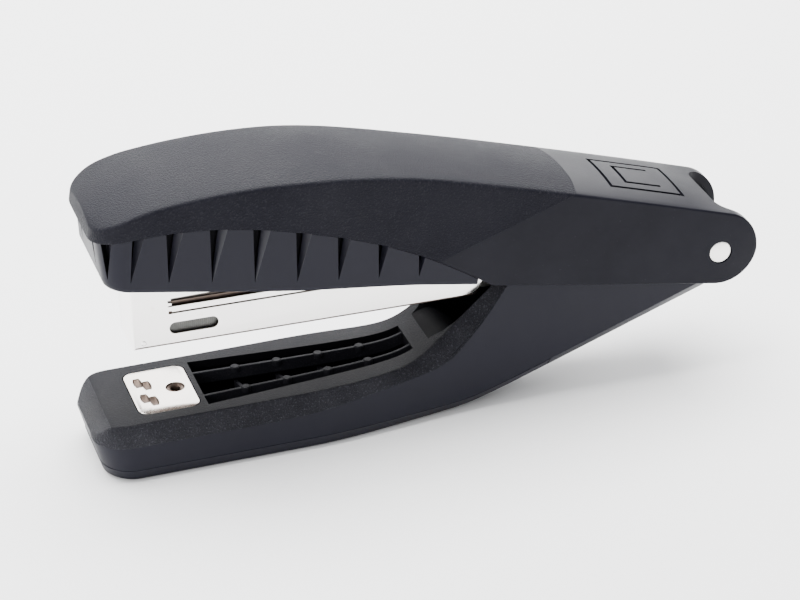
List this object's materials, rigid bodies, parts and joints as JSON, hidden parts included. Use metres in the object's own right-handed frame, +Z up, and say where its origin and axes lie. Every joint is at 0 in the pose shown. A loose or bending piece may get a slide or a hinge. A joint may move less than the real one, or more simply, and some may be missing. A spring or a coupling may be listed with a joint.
{
  "type": "stapler",
  "caption": "Desk stapler with a sprung magazine, press handle, staple follower and plated anvil on a curved open base.",
  "frame": {"origin": "middle of the footprint, on the surface that the feet stand on", "axes": "+X towards the hinge end, +Y to the left seen from the stapling end, +Z up"},
  "size_m": [0.1772, 0.0366, 0.0774],
  "materials": {
    "cover_plastic": "grained moulded plastic, black with a blue cast",
    "skirt_plastic": "smooth satin moulded plastic, blue-black",
    "base_plastic": "fine grained moulded plastic, blue-black",
    "sole_plastic": "smooth moulded plastic, blue-black",
    "rubber": "soft black rubber",
    "nickel": "bright nickel-plated sheet steel",
    "chrome": "polished plated steel",
    "steel": "zinc-plated pressed steel",
    "spring_steel": "drawn spring wire",
    "follower_plastic": "black nylon"
  },
  "bodies": {
    "base": {"base_shell": "base_plastic", "base_sole": "sole_plastic", "front_foot": "rubber", "rear_foot": "rubber", "anvil_plate": "chrome", "anvil_rivet": "steel", "hinge_pin": "chrome", "hinge_washer_near": "steel", "hinge_washer_far": "steel", "magazine_spring": "spring_steel"},
    "magazine": {"magazine_channel": "nickel", "staple_core": "steel", "rail_rivet_front": "steel", "rail_rivet_rear": "steel", "follower_rod": "steel", "staple_strip": "nickel", "staple_cover": "nickel", "handle_spring": "spring_steel", "follower_spring": "spring_steel"},
    "follower": {"follower": "follower_plastic"},
    "handle": {"handle_cover": "cover_plastic", "handle_skirt": "skirt_plastic", "driver_arm": "steel", "driver_blade": "steel", "blade_rivet": "steel"}
  },
  "joints": [
    {"name": "magazine_hinge", "type": "hinge", "parent": "base", "child": "magazine", "pos_m": [0.0784, 0, 0.035], "axis": [0, 1, 0], "range_deg": [-6, 0], "stiffness_Nm_per_rad": 1, "springref_deg": 22.92, "deforming": ["magazine_spring"]},
    {"name": "handle_hinge", "type": "hinge", "parent": "magazine", "child": "handle", "pos_m": [0.0784, 0, 0.035], "axis": [0, 1, 0], "range_deg": [-4, 80], "stiffness_Nm_per_rad": 0.8, "springref_deg": 4.01, "deforming": ["handle_spring"]},
    {"name": "follower_slide", "type": "slide", "parent": "magazine", "child": "follower", "axis": [0.9999, 0, -0.0143], "range_m": [0, 0.028], "stiffness_N_per_m": 60, "springref_m": -0.03, "deforming": ["follower_spring"]}
  ]
}
